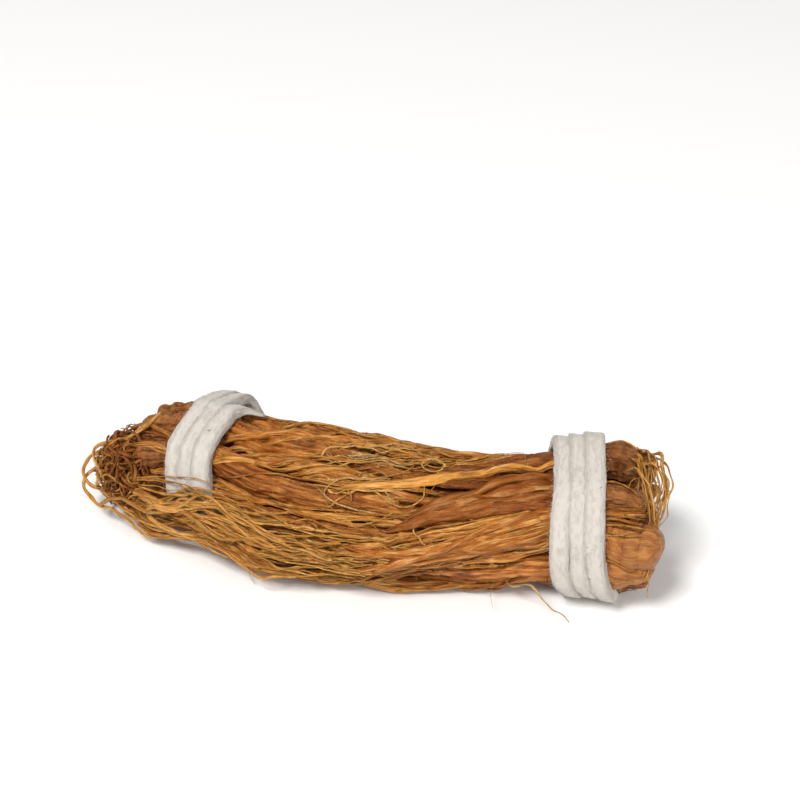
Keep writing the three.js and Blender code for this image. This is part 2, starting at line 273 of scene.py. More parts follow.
def steamed_ginseng_skin():
    material, tree, shader = new_material("steamed ginseng skin")
    grain = stored(tree, "grain", "Vector")
    crease_and_shade, fine, tone, crown = (stored(tree, name) for name in ("crease_and_shade", "fine", "tone", "crown"))
    ridges, streaks, patches = noise(grain, 0.7, 3.0), noise(grain, 1.9, 4.0), noise(grain, 0.35, 2.0)
    # Thick roots: two browns in patches, then a painted highlight on the bumped ridges, painted shade in the
    # hollows between them, and the dark roots.
    base = mixed(ranged(patches, 0.35, 0.65), linear("#944D1A"), linear("#BC7230"))
    base = mixed(ranged(ridges, 0.48, 0.72, 0, 0.7), base, linear("#DB9A56"))
    base = mixed(ranged(ridges, 0.46, 0.28, 0, 0.75), base, linear("#68320F"))
    base = mixed(ranged(tone, -0.5, 0.6, 0.9, 0), base, linear("#6F3814"))
    # Thin rootlets: brown to ochre by tone, with the same painted highlight on ridges and painted shade in
    # hollows, then the palest and the darkest.
    thin = mixed(tone, linear("#A65D1E"), linear("#DF9F45"))
    thin = mixed(ranged(ridges, 0.48, 0.7, 0, 0.75), thin, linear("#EDBD78"))
    thin = mixed(ranged(ridges, 0.46, 0.3, 0, 0.8), thin, linear("#6F350E"))
    thin = mixed(ranged(tone, 1, 2, 0, 0.8), thin, linear("#E8D2A4"))
    thin = mixed(ranged(tone, -0.6, 0, 0.85, 0), thin, linear("#783C14"))
    # Heads are greyer. Rootlets take over where the root is fine, and painted shade darkens the creases most
    # of all.
    base = mixed(ranged(crown, 0, 1, 0, 0.5), base, linear("#7F5636"))
    base = mixed(fine, base, thin)
    base = mixed(ranged(crease_and_shade, 0.15, 1.0, 0, 0.85), base, linear("#4A1E02"))
    tree.links.new(base, shader.inputs["Base Color"])
    rough = ranged(streaks, 0.35, 0.65, 0.28, 0.5)
    tree.links.new(rough, shader.inputs["Roughness"])
    shader.inputs["Specular Tint"].default_value = linear("#FFD09A")
    shader.inputs["Subsurface Weight"].default_value = 0.06
    shader.inputs["Subsurface Radius"].default_value = (1.2 * MM, 0.6 * MM, 0.3 * MM)
    coarse = add_node(tree, "ShaderNodeBump", Height=ridges, Strength=0.9, Distance=1.1 * MM).outputs[0]
    bump = add_node(tree, "ShaderNodeBump", Height=streaks, Strength=0.6, Distance=0.4 * MM, Normal=coarse)
    tree.links.new(bump.outputs[0], shader.inputs["Normal"])
    return material


skin = steamed_ginseng_skin()

# --------------------------------------------------------------------
# The bundle as a whole: the gathered roots swell between the ties and bow towards the front.
# Its surface is measured here by its distance from the bundle's middle line, at each x and at each
# angle round it, from the front (0) over the top (a quarter turn). What lies on it is laid by that.
CELL = 0.6 * MM
CELLS_ROUND = 240
OUTSIDE = 60 * MM       # further out than any root
grid_x = np.arange(-90 * MM, 86 * MM, CELL)
grid_angle = np.arange(CELLS_ROUND) * 2 * math.pi / CELLS_ROUND

every_point = np.vstack([coordinates(body.data) for body in bodies.values()])
stations = np.arange(-60, 61, 4) * MM
slabs = [every_point[np.abs(every_point[:, 0] - x) < 2 * MM] for x in stations]
middle_y = np.polyfit(stations, [np.percentile(slab[:, 1], [2, 98]).mean() for slab in slabs], 4)
middle_z = np.polyfit(stations, [np.percentile(slab[:, 2], [2, 98]).mean() for slab in slabs], 4)


def middle(x):
    inside = np.clip(x, -62 * MM, 62 * MM)
    return np.polyval(middle_y, inside), np.polyval(middle_z, inside)


def around(x, angle, out):
    """Points at x, at an angle round the middle line and a distance out from it."""
    y, z = middle(x)
    return np.stack([x, y - out * np.cos(angle), z + out * np.sin(angle)], -1)


# The long rootlets that loop back over the left tie stand clear, so nothing is laid on those.
line_y, line_z = middle(every_point[:, 0])
angle_of = np.arctan2(every_point[:, 2] - line_z, line_y - every_point[:, 1])
looping = np.repeat([name == "root_right_10" for name in bodies],
                    [len(body.data.vertices) for body in bodies.values()])
looping &= (every_point[:, 0] < -10 * MM) & (angle_of < 0.2) & (angle_of > -1.3)

polygons = []
offset = 0
for body in bodies.values():
    corners = np.empty(len(body.data.loops), np.int64)
    body.data.loops.foreach_get("vertex_index", corners)
    polygons.append(corners.reshape(-1, 4) + offset)
    offset += len(body.data.vertices)
owners = np.repeat(np.arange(len(bodies)), [len(faces) for faces in polygons])
faces = np.vstack(polygons)
firm = ~looping[faces].any(1)
owners = owners[firm]
tree = BVHTree.FromPolygons(every_point.tolist(), faces[firm].tolist())
surface = np.zeros((len(grid_x), CELLS_ROUND))
owner = np.zeros(surface.shape, np.int64)
for i, x in enumerate(grid_x):
    far = around(np.full(CELLS_ROUND, x), grid_angle, np.full(CELLS_ROUND, OUTSIDE))
    near = around(np.full(CELLS_ROUND, x), grid_angle, np.zeros(CELLS_ROUND))
    for j in range(CELLS_ROUND):
        start = Vector(far[j])
        _, _, face, distance = tree.ray_cast(start, Vector(near[j]) - start, OUTSIDE)
        if face is not None:
            surface[i, j] = OUTSIDE - distance
            owner[i, j] = owners[face]

# --------------------------------------------------------------------
# The ties: soft white cotton cord, three turns side by side round each end of the bundle, pulled
# tight so that the turns press flat and close up. Loose fibres stand up all over it.
CORD_RADIUS = 2.15 * MM
CORD_WIDE = 1.17        # how much wider than round it is, pressed flat
CORD_FLAT = 0.64        # and its height against its round thickness
CORD_SQUARE = 0.3       # 1 is a round section, 0 a square one
CORD_LIFT = 1.65 * MM   # height of its middle where the bundle rests on it
PITCH = 4.15 * MM       # from turn to turn
LEVEL = 0.45            # how far the turns of a tie lie level with each other
BUNDLE_X = 4.93 * MM    # x of the bundle's middle, from which the ties' places are given
FACINGS = np.arange(48) * 2 * math.pi / 48
FIBRES = 2800
# The left tie and the right one: place along x in mm, how far it is turned and leans, and half the
# bundle's depth and height there in mm.
TIES = {-1: (-45.5, -0.27, -0.27, 16.8, 14.4), 1: (49, 0.31, -0.17, 15.7, 13.3)}

# What a cord is drawn tight round: all but the long rootlets that pass over the left tie.
bound = every_point[~looping]
bound = bound[np.argsort(bound[:, 0])]
tight_x = np.arange(-70, 74, 1.5) * MM
tight_reach = np.empty((len(tight_x), len(FACINGS)))
for i, x in enumerate(tight_x):
    low, high = np.searchsorted(bound[:, 0], [x - 3 * MM, x + 3 * MM])
    y, z = middle(x)
    near = bound[low:high:3]
    tight_reach[i] = np.max(-(near[:, 1:2] - y) * np.cos(FACINGS) + (near[:, 2:] - z) * np.sin(FACINGS), 0)


def tight_loop(x, angle):
    """How far out something drawn tight round the roots lies."""
    reach = np.stack([np.interp(x, tight_x, column) for column in tight_reach.T], -1)
    across = np.cos(angle[:, None] - FACINGS)
    return np.min(np.where(across > 0.2, reach / np.maximum(across, 0.2), 1), -1)


def smooth_along(values, width):
    if values.ndim > 1:
        return np.stack([smooth_along(column, width) for column in values.T], -1)
    kernel = np.hanning(2 * width + 3)[1:-1]
    return np.convolve(np.pad(values, width, mode="edge"), kernel / kernel.sum(), mode="valid")


def tie_x(side, angle):
    """A tie is square to the bundle where it lies, so it is turned as the bundle bows, and leans."""
    tie, yaw, lean, half_y, half_z = TIES[side]
    turned, over = np.cos(angle), np.sin(angle)
    slipped = 0  # how far it has slipped to the right
    if side < 0:
        turned = np.maximum(turned, 0.3 * turned)   # it is turned less at the back
    else:
        turned = np.minimum(turned, 0.62 * turned)  # and this one less in front
        slipped = 3.8 * step(-over, 0.0, 0.9) + 0.9 * step(over, 0.5, 1)
    return BUNDLE_X + (tie + slipped + yaw * turned * half_y + lean * over * half_z) * MM


def cord_path(side, knots):
    """The cord's middle line through knots of degrees round the bundle, x along it, and lift."""
    knots = np.array(knots, float)
    far = np.concatenate([[0], np.cumsum(np.abs(np.diff(knots[:, 0])) + np.abs(np.diff(knots[:, 1])) * 4)])
    at = np.arange(0, far[-1], 1.0)
    degrees, x, lift = (smooth_along(np.interp(at, far, column), 9) for column in knots.T)
    angle = np.radians(degrees)
    x = tie_x(side, angle) + x * MM
    centre = tie_x(side, angle)
    even = LEVEL * (1 - step(np.abs(x - centre), 6 * MM, 9 * MM))
    out = even * tight_loop(centre, angle) + (1 - even) * tight_loop(x, angle)
    path = around(x, angle, out + CORD_RADIUS * 0.6 + lift * MM)
    on_table = step(-np.sin(angle), 0.8, 0.95)
    path[:, 2] = np.maximum(path[:, 2] * (1 - on_table) + CORD_LIFT * on_table, CORD_LIFT)
    path = smooth_along(path, 5)
    along = np.concatenate([[0], np.cumsum(np.linalg.norm(np.diff(path, axis=0), axis=1))])
    fine = np.arange(0, along[-1], 0.4 * MM)
    return np.stack([np.interp(fine, along, column) for column in path.T], -1)


def turns(last):
    """Three turns side by side from low at the back, and the cord's first end beside them."""
    first = 235  # degrees round

    def x(degrees):
        closer = 1 - 0.12 * math.sin(math.radians(degrees))  # the turns close up on top
        return ((degrees - first) / 360 - 1.45) * PITCH / MM * closer

    start = [(210, x(first) - 8.5, 0), (213, x(first) - 4.5, 0), (222, x(first) - 1, 0)]
    return start + [(degrees, x(degrees), 0) for degrees in range(first, last + 1, 20)], x(last)


def tube_faces(rings, sides):
    """Faces between rings of points, and fans to one more point at each end."""
    at = np.arange(rings - 1)[:, None] * sides
    here = np.arange(sides)[None, :]
    there = (here + 1) % sides
    faces = np.stack([at + here, at + there, at + there + sides, at + here + sides], -1)
    tip, last = rings * sides, (rings - 1) * sides
    caps = [[tip, (k + 1) % sides, k] for k in range(sides)]
    caps += [[tip + 1, last + k, last + (k + 1) % sides] for k in range(sides)]
    return faces.reshape(-1, 4).tolist() + caps


def tube(path, radius, sides, shape=1.0):
    """A closed tube along the path. Gives its points, faces and each point's angle round it."""
    ahead = unit(np.gradient(path, axis=0))
    side = np.empty_like(path)
    last = np.cross(ahead[0], [0.3, 0.5, 0.8])
    for i, direction in enumerate(ahead):
        last = unit(last - direction * np.dot(last, direction))
        side[i] = last
    turn = np.arange(sides) * 2 * math.pi / sides
    ring = side[:, None] * np.cos(turn)[:, None] + np.cross(ahead, side)[:, None] * np.sin(turn)[:, None]
    points = path[:, None] + ring * (radius[:, None] * shape)[..., None]
    points[..., 2] = np.maximum(points[..., 2], 0)
    points = np.vstack([points.reshape(-1, 3), path[0] - ahead[0] * radius[0],
                        path[-1] + ahead[-1] * radius[-1]])
    return points, tube_faces(len(path), sides), np.append(np.tile(turn, len(path)), [0, 0])


def add_mesh(name, points, faces, material):
    mesh = bpy.data.meshes.new(name)
    mesh.from_pydata(points.tolist(), [], faces)
    mesh.materials.append(material)
    piece = bpy.data.objects.new(name, mesh)
    bpy.context.collection.objects.link(piece)
    only(piece)
    bpy.ops.object.shade_smooth()
    return piece


def cotton_cord(name, path, end_taper, seed):
    """The cord as a soft flattened tube with its strands in relief, and the fibres that stand up."""
    sides = 40
    count = len(path)
    ahead = unit(np.gradient(path, axis=0))
    y, z = middle(path[:, 0])
    outward = path - np.stack([path[:, 0], y, z], -1)
    outward = unit(outward - ahead * np.sum(outward * ahead, 1)[:, None])
    across = np.cross(ahead, outward)
    run = np.arange(count) * 0.4
    turn = np.arange(sides) * 2 * math.pi / sides
    far, round_it = np.meshgrid(run, turn, indexing="ij")
    soft = np.stack([far / 7, 1.5 * np.cos(round_it), 1.5 * np.sin(round_it)], -1).reshape(-1, 3)
    slack = wander(soft + seed, 11).reshape(far.shape)
    fluff = wander(soft * [6, 4, 4] + seed, 12).reshape(far.shape)
    strands = np.abs(np.sin(1.5 * round_it + far * 0.16 + 0.5 * slack))
    yarns = np.abs(np.sin(5.5 * round_it + far * 0.5 + 1.2 * slack))
    height = 0.16 * slack + 0.13 * (strands ** 0.6 - 0.7) + 0.16 * (yarns - 0.6) + 0.16 * fluff
    thick = 1 - (1 - end_taper) * step(run, run[-1] - 9, run[-1])  # both ends thin out
    thick *= 1 - 0.6 * (1 - step(run, 0, 3))
    sideways, upwards = np.cos(round_it), np.sin(round_it)
    wide = np.sign(sideways) * np.abs(sideways) ** CORD_SQUARE * (CORD_WIDE * CORD_RADIUS + height * MM)
    flat = CORD_FLAT + 0.16 * step(-outward[:, 2:], 0.6, 0.95)     # less flat underneath
    high = np.sign(upwards) * np.abs(upwards) ** CORD_SQUARE * flat * (CORD_RADIUS + height * MM)
    wide, high = wide * thick[:, None], high * thick[:, None]
    points = path[:, None] + across[:, None] * wide[..., None] + outward[:, None] * high[..., None]
    points[..., 2] = np.maximum(points[..., 2], 0)
    ring_points = points.reshape(-1, 3)
    tips = np.stack([path[0] - ahead[0] * 0.8 * MM, path[-1] + ahead[-1] * 0.8 * MM])
    faces = tube_faces(count, sides)
    all_points = [ring_points, tips]
    yarn = [np.stack([far, 3 * sideways, 3 * upwards], -1).reshape(-1, 3), np.zeros((2, 3))]
    # Painted shade in the seam between two turns, broken up along its length.
    lengthwise = np.stack([far / 5, round_it * 0, round_it * 0], -1).reshape(-1, 3)
    broken = step(wander(lengthwise + seed, 13), -0.2, 0.5)
    seam_shade = [np.abs(sideways).ravel() ** 5 * (0.35 + 0.65 * broken), np.zeros(2)]
    offset = count * sides + 2
    for _ in range(FIBRES):
        i = rng.integers(2, count - 2)
        j = int(rng.normal(sides / 4, sides / 6)) % sides
        here = points[i, j]
        up = unit(here - path[i])
        lean = unit(ahead[i] * rng.normal(0, 1) + across[i] * rng.normal(0, 0.7) + up * rng.uniform(0.1, 0.9))
        bend = unit(rng.normal(0, 1, 3))
        part = np.linspace(0, 1, 4)[:, None]
        length = rng.uniform(0.4, 1.4) * MM
        fibre = here - up * 0.1 * MM + lean * length * part + bend * length * 0.35 * part ** 2
        fibre[:, 2] = np.maximum(fibre[:, 2], 0.05 * MM)
        fibre_points, fibre_faces, _ = tube(fibre, np.full(4, 0.024 * MM), 3)
        all_points.append(fibre_points)
        faces += [[corner + offset for corner in face] for face in fibre_faces]
        yarn.append(np.full((len(fibre_points), 3), 0.5))
        seam_shade.append(np.zeros(len(fibre_points)))
        offset += len(fibre_points)
    piece = add_mesh(name, np.vstack(all_points), faces, cotton)
    store(piece.data, "yarn", np.vstack(yarn))
    store(piece.data, "seam_shade", np.concatenate(seam_shade))
    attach(piece, "root")
    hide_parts(name.replace("cotton_", ""))


def soft_cotton():
    material, tree, shader = new_material("soft twisted cotton")
    yarn = stored(tree, "yarn", "Vector")
    drawn = add_node(tree, "ShaderNodeMapping", Vector=yarn, Scale=(0.15, 1, 1)).outputs[0]
    strands = noise(drawn, 3.5, 6.0)
    # Two whites along its fibres, then specks of root and painted shade in the seams between turns.
    base = mixed(ranged(strands, 0.36, 0.52), linear("#B4ABA1"), linear("#C1BAB1"))
    base = mixed(ranged(noise(yarn, 0.9, 2.0), 0.7, 0.76), base, linear("#7F756B"))
    base = mixed(ranged(stored(tree, "seam_shade"), 0.55, 0.95, 0, 0.55), base, linear("#8F867C"))
    tree.links.new(base, shader.inputs["Base Color"])
    shader.inputs["Roughness"].default_value = 0.9
    shader.inputs["Sheen Weight"].default_value = 0.25
    shader.inputs["Subsurface Weight"].default_value = 0.25
    shader.inputs["Subsurface Radius"].default_value = (MM, MM, MM)
    bump = add_node(tree, "ShaderNodeBump", Height=strands, Strength=0.8, Distance=0.6 * MM)
    tree.links.new(bump.outputs[0], shader.inputs["Normal"])
    return material


cotton = soft_cotton()
# The left cord's last end lies beside its turns at the back, towards the bundle's middle.
knots, last_x = turns(1160)
knots += [(1182, last_x + 0.3, 0), (1194, last_x + 1.4, 0), (1202, last_x + 4, 0), (1205, last_x + 8.4, 0)]
cotton_cord("cotton_tie_left", cord_path(-1, knots), 0.3, 3.3)
# The right cord's last end crosses back over its turns and is tucked in beside them.
knots, last_x = turns(1220)
knots += [(1240, last_x, 0.6), (1256, last_x - 2.8, 2.3), (1268, last_x - 8.3, 2.6),
          (1276, last_x - 13.8, 2.4), (1281, last_x - 18.3, 0.6)]
cotton_cord("cotton_tie_right", cord_path(1, knots), 0.5, 8.8)

# Where a rootlet meets a tie: the cord's inner side at each place of the surface, or nothing.
HALF_TIE = 8.4 * MM     # half the width that a tie's three turns cover
under_cord = np.full(surface.shape, np.inf)
for side in TIES:
    for j, angle in enumerate(grid_angle):
        held = np.flatnonzero(np.abs(grid_x - tie_x(side, angle)) < HALF_TIE)
        under_cord[held, j] = tight_loop(grid_x[held], np.full(len(held), angle))
tied = np.isfinite(under_cord)

# --------------------------------------------------------------------
# The rootlets: every root ends in hundreds of thin branches. They dry to ochre yellow strings that
# lie along the bundle, over and under each other, and curl where nothing holds them.
STRIDE = 0.7 * MM       # spacing of the points along a rootlet
SINK = 0.35             # a rootlet's middle is this much of its radius above what it lies on
THICK = 0.5 * MM        # rootlets of more than this radius have furrows


def cells(x, angle):
    i = np.clip(np.round((x - grid_x[0]) / CELL).astype(int), 1, len(grid_x) - 2)
    return i, np.round(angle / (2 * math.pi) * CELLS_ROUND).astype(int) % CELLS_ROUND


def lay(x, angle, radius, lift, over_ties=False):
    """Lays a rootlet on what is already there and returns its path. Later ones lie on top of it."""
    i, j = cells(x, angle)
    level = np.zeros(len(x))
    for dj in (-1, 0, 1):
        level = np.maximum(level, surface[i, (j + dj) % CELLS_ROUND])
    held = tied[i, j]
    cord = np.where(held, under_cord[i, j], 0)
    if over_ties:
        level = np.where(held, np.maximum(level, cord + 1.8 * CORD_RADIUS), level)
    fall = (0.28 if over_ties else 0.7) * STRIDE  # a rootlet is too stiff to follow every dip
    for n in range(1, 26):
        level[n:] = np.maximum(level[n:], level[:-n] - n * fall)
        level[:-n] = np.maximum(level[:-n], level[n:] - n * fall)
    out = smooth_along(level, 2) + radius * SINK + lift
    if not over_ties:
        out = smooth_along(np.where(held, np.minimum(out, cord - radius), out), 2)
    path = around(x, angle, out)
    path[:, 2] = np.maximum(path[:, 2], radius)
    surface[i, j] = np.maximum(surface[i, j], np.where(held & (not over_ties), 0, out))
    return path


def strand_noise(count, width):
    return smooth_along(rng.normal(0, 1, count), width) * math.sqrt(width + 1)


def sweep(x):
    """The bundle is twisted a little: rootlets climb towards the right end."""
    return np.radians(np.interp(x / MM, [-50, -38, -12, 10, 46, 60], [-22, -16, 0, 5, 34, 40]))


def rootlet_course(x, angle, way, length, wobble, curl):
    """A wandering course over the bundle: x and the angle round it."""
    count = int(length * MM / STRIDE)
    along = np.arange(count) * STRIDE / MM
    heading = np.zeros(count)
    for wave, strength in ((37, 0.7), (19, 0.6), (9, 0.35)):
        heading += strength * np.sin(along / wave * 2 * math.pi * rng.uniform(0.8, 1.25)
                                     + rng.uniform(0, 6.3))
    heading = wobble * (heading + rng.normal(0, 0.4) + 0.75 * strand_noise(count, 2))
    heading += curl * rng.choice((-1, 1)) * np.clip((along / length - 0.45) / 0.55, 0, 1) ** 2 * 5
    x = x + way * np.cumsum(np.cos(heading)) * STRIDE
    return x, angle + np.cumsum(np.sin(heading)) * STRIDE / (19 * MM) + sweep(x) - sweep(x[0])


def settled(x, angle, blurred):
    """The same course once it has slid down into the hollows between the roots."""
    for _ in range(6):
        i, j = cells(x, angle)
        slope = blurred[i, (j + 4) % CELLS_ROUND] - blurred[i, (j - 4) % CELLS_ROUND]
        angle = smooth_along(angle - np.clip(slope / MM * 0.04, -0.02, 0.02), 9)
    return angle


rootlets = {name: [] for name in bodies}
names = list(bodies)
right_headed = [name for name in bodies if "right" in name]
left_headed = [name for name in bodies if "left" in name]


def one_of(roots):
    return roots[rng.integers(len(roots))]


def uneven(count, thick, taper=0.75):
    """The radius along a rootlet: it tapers, and is knotty."""
    part = np.linspace(0, 1, count)
    knots = (0.07 if thick > THICK else 0.16) * np.clip(strand_noise(count, 2), -1.5, 2)
    return thick * (1.05 - taper * part ** 1.3) * (1 + knots)


# Where the roots lie bare: parts of x in mm and of degrees round. The thick rootlets that slide into
# the hollows do lie over the first of these, and keep off the other two.
BARE = [(-90, -14, -8, 110), (20, 60, 42, 104), (16, 60, -45, -4)]


def share_in_bare(course, turned, slide):
    """How much of a rootlet would lie where the roots are bare."""
    angle = np.degrees(np.mod(turned + math.pi, 2 * math.pi) - math.pi)
    inside = np.zeros(len(course), bool)
    for low, high, first, last in BARE[1:] if slide else BARE:
        inside |= (course > low * MM) & (course < high * MM) & (angle > first) & (angle < last)
    return inside.mean()


def scatter(count, x_range, angles, lengths, radii, wobble, curl=0.0, lift=0.0, shade=(0, 1), slide=False):
    """Rootlets spread over part of the bundle, in mm and degrees. Each starts in a root, and most
    lead away from its head."""
    blurred = sum(np.roll(surface, shift, 1) for shift in (-2, -1, 0, 1, 2)) / 5
    for _ in range(count):
        x = rng.uniform(*x_range) * MM
        angle = math.radians(rng.uniform(*angles))
        name = names[owner[cells(x, angle)]]
        way = -1 if "right" in name else 1
        if rng.random() < 0.22:
            way = -way
        course, turned = rootlet_course(x, angle, way, rng.uniform(*lengths), wobble * rng.uniform(0.5, 1.5),
                                        curl * rng.random())
        if slide:
            turned = settled(course, turned, blurred)
        if share_in_bare(course, turned, slide) > 0.15:
            continue
        keep = np.abs(course - 1.5 * MM) < 70 * MM  # it ends where the bundle does
        last = len(keep) if keep.all() else max(8, int(np.argmin(keep)))
        course, turned = course[:last], turned[:last]
        thick = rng.uniform(*radii) * MM
        radius = uneven(last, thick)
        part = np.linspace(0, 1, last)
        rise = lift * MM * rng.uniform(0, 1) * np.sin(part * math.pi * rng.uniform(0.7, 1.3)) ** 2
        sink = -1.6 * thick * np.clip(1 - np.arange(last) / 7, 0, 1)
        rootlets[name].append((lay(course, turned, radius, rise + sink), radius, rng.uniform(*shade)))


# How many, where along x, how far round, lengths, radii and how much they wander. First the thick
# ones in the hollows between the roots, then ever thinner ones over them.
scatter(34, (-48, 52), (0, 360), (45, 85), (0.7, 1.25), 0.07, shade=(0, 0.5), slide=True)
scatter(60, (-50, 50), (-65, 100), (45, 85), (0.5, 1.0), 0.08, shade=(-0.1, 0.8), slide=True)
scatter(46, (-50, 52), (0, 360), (30, 80), (0.4, 0.8), 0.1, shade=(-0.1, 0.9), slide=True)
scatter(80, (-52, 58), (0, 360), (30, 90), (0.28, 0.55), 0.18, shade=(-0.5, 1.1))
scatter(50, (-44, 6), (-62, -16), (30, 60), (0.3, 0.6), 0.1, lift=2.4, shade=(-0.6, 1.1))
scatter(16, (-6, 30), (-74, -48), (30, 60), (0.4, 0.7), 0.1, lift=0.8, shade=(-0.2, 0.7))
scatter(130, (-50, 48), (-70, 24), (40, 100), (0.22, 0.46), 0.13, lift=1.0, shade=(-0.6, 1.4))
scatter(44, (-56, 60), (0, 360), (12, 45), (0.13, 0.26), 0.4, curl=0.5, lift=1.0, shade=(0.2, 1))
scatter(30, (-50, 40), (10, 130), (15, 50), (0.14, 0.3), 0.4, curl=0.4, lift=1.2, shade=(0.2, 1))
scatter(60, (-14, 24), (30, 112), (14, 40), (0.18, 0.32), 0.34, curl=0.6, lift=1.0, shade=(0.4, 1.5))


def laid(knots, thick, tone, name):
    """A strand laid on the bundle through knots of x in mm and degrees round."""
    knots = np.array(knots, float)
    at = np.arange(knots[0, 0], knots[-1, 0], STRIDE / MM)
    count = np.arange(len(at))
    angle = np.radians(smooth_along(np.interp(at, knots[:, 0], knots[:, 1]), 7))
    angle = angle + 0.008 * strand_noise(len(at), 4)
    radius = uneven(len(at), thick * MM, 0.3) * np.clip((count + 3) / 18, 0, 1)
    sink = -1.6 * thick * MM * np.clip(1 - count / 7, 0, 1)
    rootlets[name].append((lay(at * MM, angle, radius, sink), radius, tone))


def strung(knots, thick, tone, name, shake=0.12):
    """A rootlet through places in mm, in front of the bundle or clear of its ends."""
    knots = np.array(knots, float)
    far = np.concatenate([[0], np.cumsum(np.linalg.norm(np.diff(knots, axis=0), axis=1))])
    at = np.arange(0, far[-1], STRIDE / MM)
    path = smooth_along(np.stack([np.interp(at, far, column) for column in knots.T], -1), 4)
    path += shake * np.stack([strand_noise(len(at), 4) for _ in range(3)], -1)
    radius = uneven(len(at), thick * MM, 0.45)
    path *= MM
    path[:, 2] = np.maximum(path[:, 2], radius)
    rootlets[name].append((path, radius, tone))


# Dark branches climb to the right tie near the top, with a yellow one along their upper side.
for share in (0, 0.5, 1, 0.25, 0.75):
    laid([(8 + 3 * share, 16 + 8 * share), (19, 34 + 12 * share), (28, 42 + 20 * share),
          (37, 46 + 30 * share), (46, 48 + 36 * share), (58, 48 + 38 * share)],
         rng.uniform(1.25, 1.6), rng.uniform(-0.6, -0.2), "root_left_04")
laid([(-7, 45), (4, 56), (15, 66), (24, 79), (33, 90), (45, 96), (56, 98)], 1.15, 0.75, "root_left_06")
for number in range(9):
    first = rng.uniform(-6, 10)
    laid([(first, rng.uniform(-16, 10)), (22, rng.uniform(2, 18)), (34, 8 + number * 2.4),
          (46, 12 + number * 3.6), (57, 14 + number * 3.6)],
         rng.uniform(0.6, 1.1), rng.uniform(-0.4, 0.4), "root_left_07")

# Pale fibres stand bare where a thin root broke, on top near the middle.
for _ in range(6):
    course, turned = rootlet_course(rng.uniform(-5, -2) * MM, math.radians(rng.uniform(82, 91)), 1,
                                    rng.uniform(6, 9), 0.08, 0)
    radius = uneven(len(course), rng.uniform(0.16, 0.26) * MM, 0.5)
    rootlets["root_right_01"].append((lay(course, turned, radius, 0.3 * MM), radius, 1.35))
# One thin rootlet is curled into a ring on top.
around_it = np.linspace(0, 8.4, 26)
strung(np.stack([17.4 + 3.4 * np.cos(around_it), -7.6 + 1.2 * np.sin(around_it),
                 33.2 + 1.3 * np.sin(around_it) + 0.05 * around_it], 1), 0.22, 1.2, "root_right_01", 0.1)


def swing(knots, thick, tone, shake=1.0):
    """A rootlet that comes out between the heads at the left end and turns back, through knots of
    x, degrees round and distance out. Where that is 0 it lies on the bundle, over the tie."""
    knots = np.array(knots, float)
    knots[:, 0] += rng.normal(0, 0.5 * shake, len(knots))
    knots[:, 1] += rng.normal(0, 3 * shake, len(knots))
    laid_down = knots[:, 2] == 0
    knots[laid_down, 2] = 17  # about where the bundle's surface is
    far = np.concatenate([[0], np.cumsum(np.hypot(np.diff(knots[:, 0]), np.diff(knots[:, 1]) * 0.25))])
    at = np.arange(0, far[-1], STRIDE / MM)
    x, degrees, out = (smooth_along(np.interp(at, far, column), 7) for column in knots.T)
    free = smooth_along(np.interp(at, far, 1.0 - laid_down), 4)
    count = len(at)
    x = x * MM + 0.2 * MM * strand_noise(count, 3)
    angle = np.radians(degrees) + 0.012 * strand_noise(count, 4)
    radius = uneven(count, thick * MM, 0.45)
    laid = lay(x, angle, radius, np.full(count, 0.1 * MM), over_ties=True)
    y, z = middle(x)
    laid_out = np.hypot(laid[:, 1] - y, laid[:, 2] - z)
    path = around(x, angle, smooth_along(free * out * MM + (1 - free) * laid_out, 3))
    path[:, 2] = np.maximum(path[:, 2], radius)
    rootlets[one_of(right_headed)].append((path, radius, tone))


# Rootlets that run along the foot, over the lower part of the tie.
for _ in range(84):
    first = rng.uniform(-66, -2)
    last = first + rng.uniform(-10, 12)
    start = rng.uniform(-71, -65)
    swing([(start, first - 4, rng.uniform(4, 12)), (start + 5, first - 4, rng.uniform(13, 17)),
           (-54, first - 4, 0), (-46, first + 6, 0), (-41, first + 15, 0), (-36, first + 15, 0),
           (-29, first + 9, 0), (-22, first + 9, 0),
           (-15, 0.5 * (first + last) + 12, 0), (rng.uniform(-10, 14), last + 18, 0)],
          rng.uniform(0.2, 0.46), rng.uniform(0.4, 1.25))
for first in (11, 16, 20, 17):  # and a few thin ones higher up
    swing([(-66, first - 16, 14), (-60, first - 10, 16.5), (-53, first - 4, 0), (-44, first, 0),
           (-36, first + 2, 0), (-28, first - 4, 0), (-14, 14, 0)], 0.17, 0.7, 0.5)
# A thick one folds back on itself beside the tie.
strung([(-43, -17, 14), (-46, -20.6, 16), (-52, -19, 14.6), (-56.6, -15.8, 12.2), (-58.4, -15, 10.2),
        (-57.4, -16.2, 8.8), (-53, -19.4, 9), (-47, -22.4, 10), (-40, -22, 10)],
       0.72, 1.1, "root_right_10", 0.05)
# The longest swing far out before they come back.
strung([(-60.9, 6, 27.5), (-62.7, 0, 26.6), (-69.2, 0, 20.9), (-73.7, -2, 20.4), (-76.7, -4, 19.9),
        (-76.9, -6, 18.6), (-74.6, -8, 15.7), (-71.4, -10, 13.1), (-68.9, -12, 9.6), (-66.9, -12, 7),
        (-62.1, -14.4, 6), (-56, -18, 6.4), (-50, -21, 8.4), (-40, -24, 10), (-30, -27, 10)],
       0.46, 1.1, "root_right_02")
strung([(-66, 4, 17), (-73, 0, 18), (-78.4, -4, 16.6), (-80.2, -7, 13.4), (-78.4, -8.4, 10.8),
        (-73.7, -10, 10.3), (-70.6, -12, 10), (-67, -14, 9.1), (-61, -16.4, 7.8), (-56, -18.4, 7.6),
        (-50, -20.6, 9.6), (-42, -23.5, 9.4), (-33, -27, 9), (-22, -29, 8.4)], 0.42, 1.0, "root_right_05")
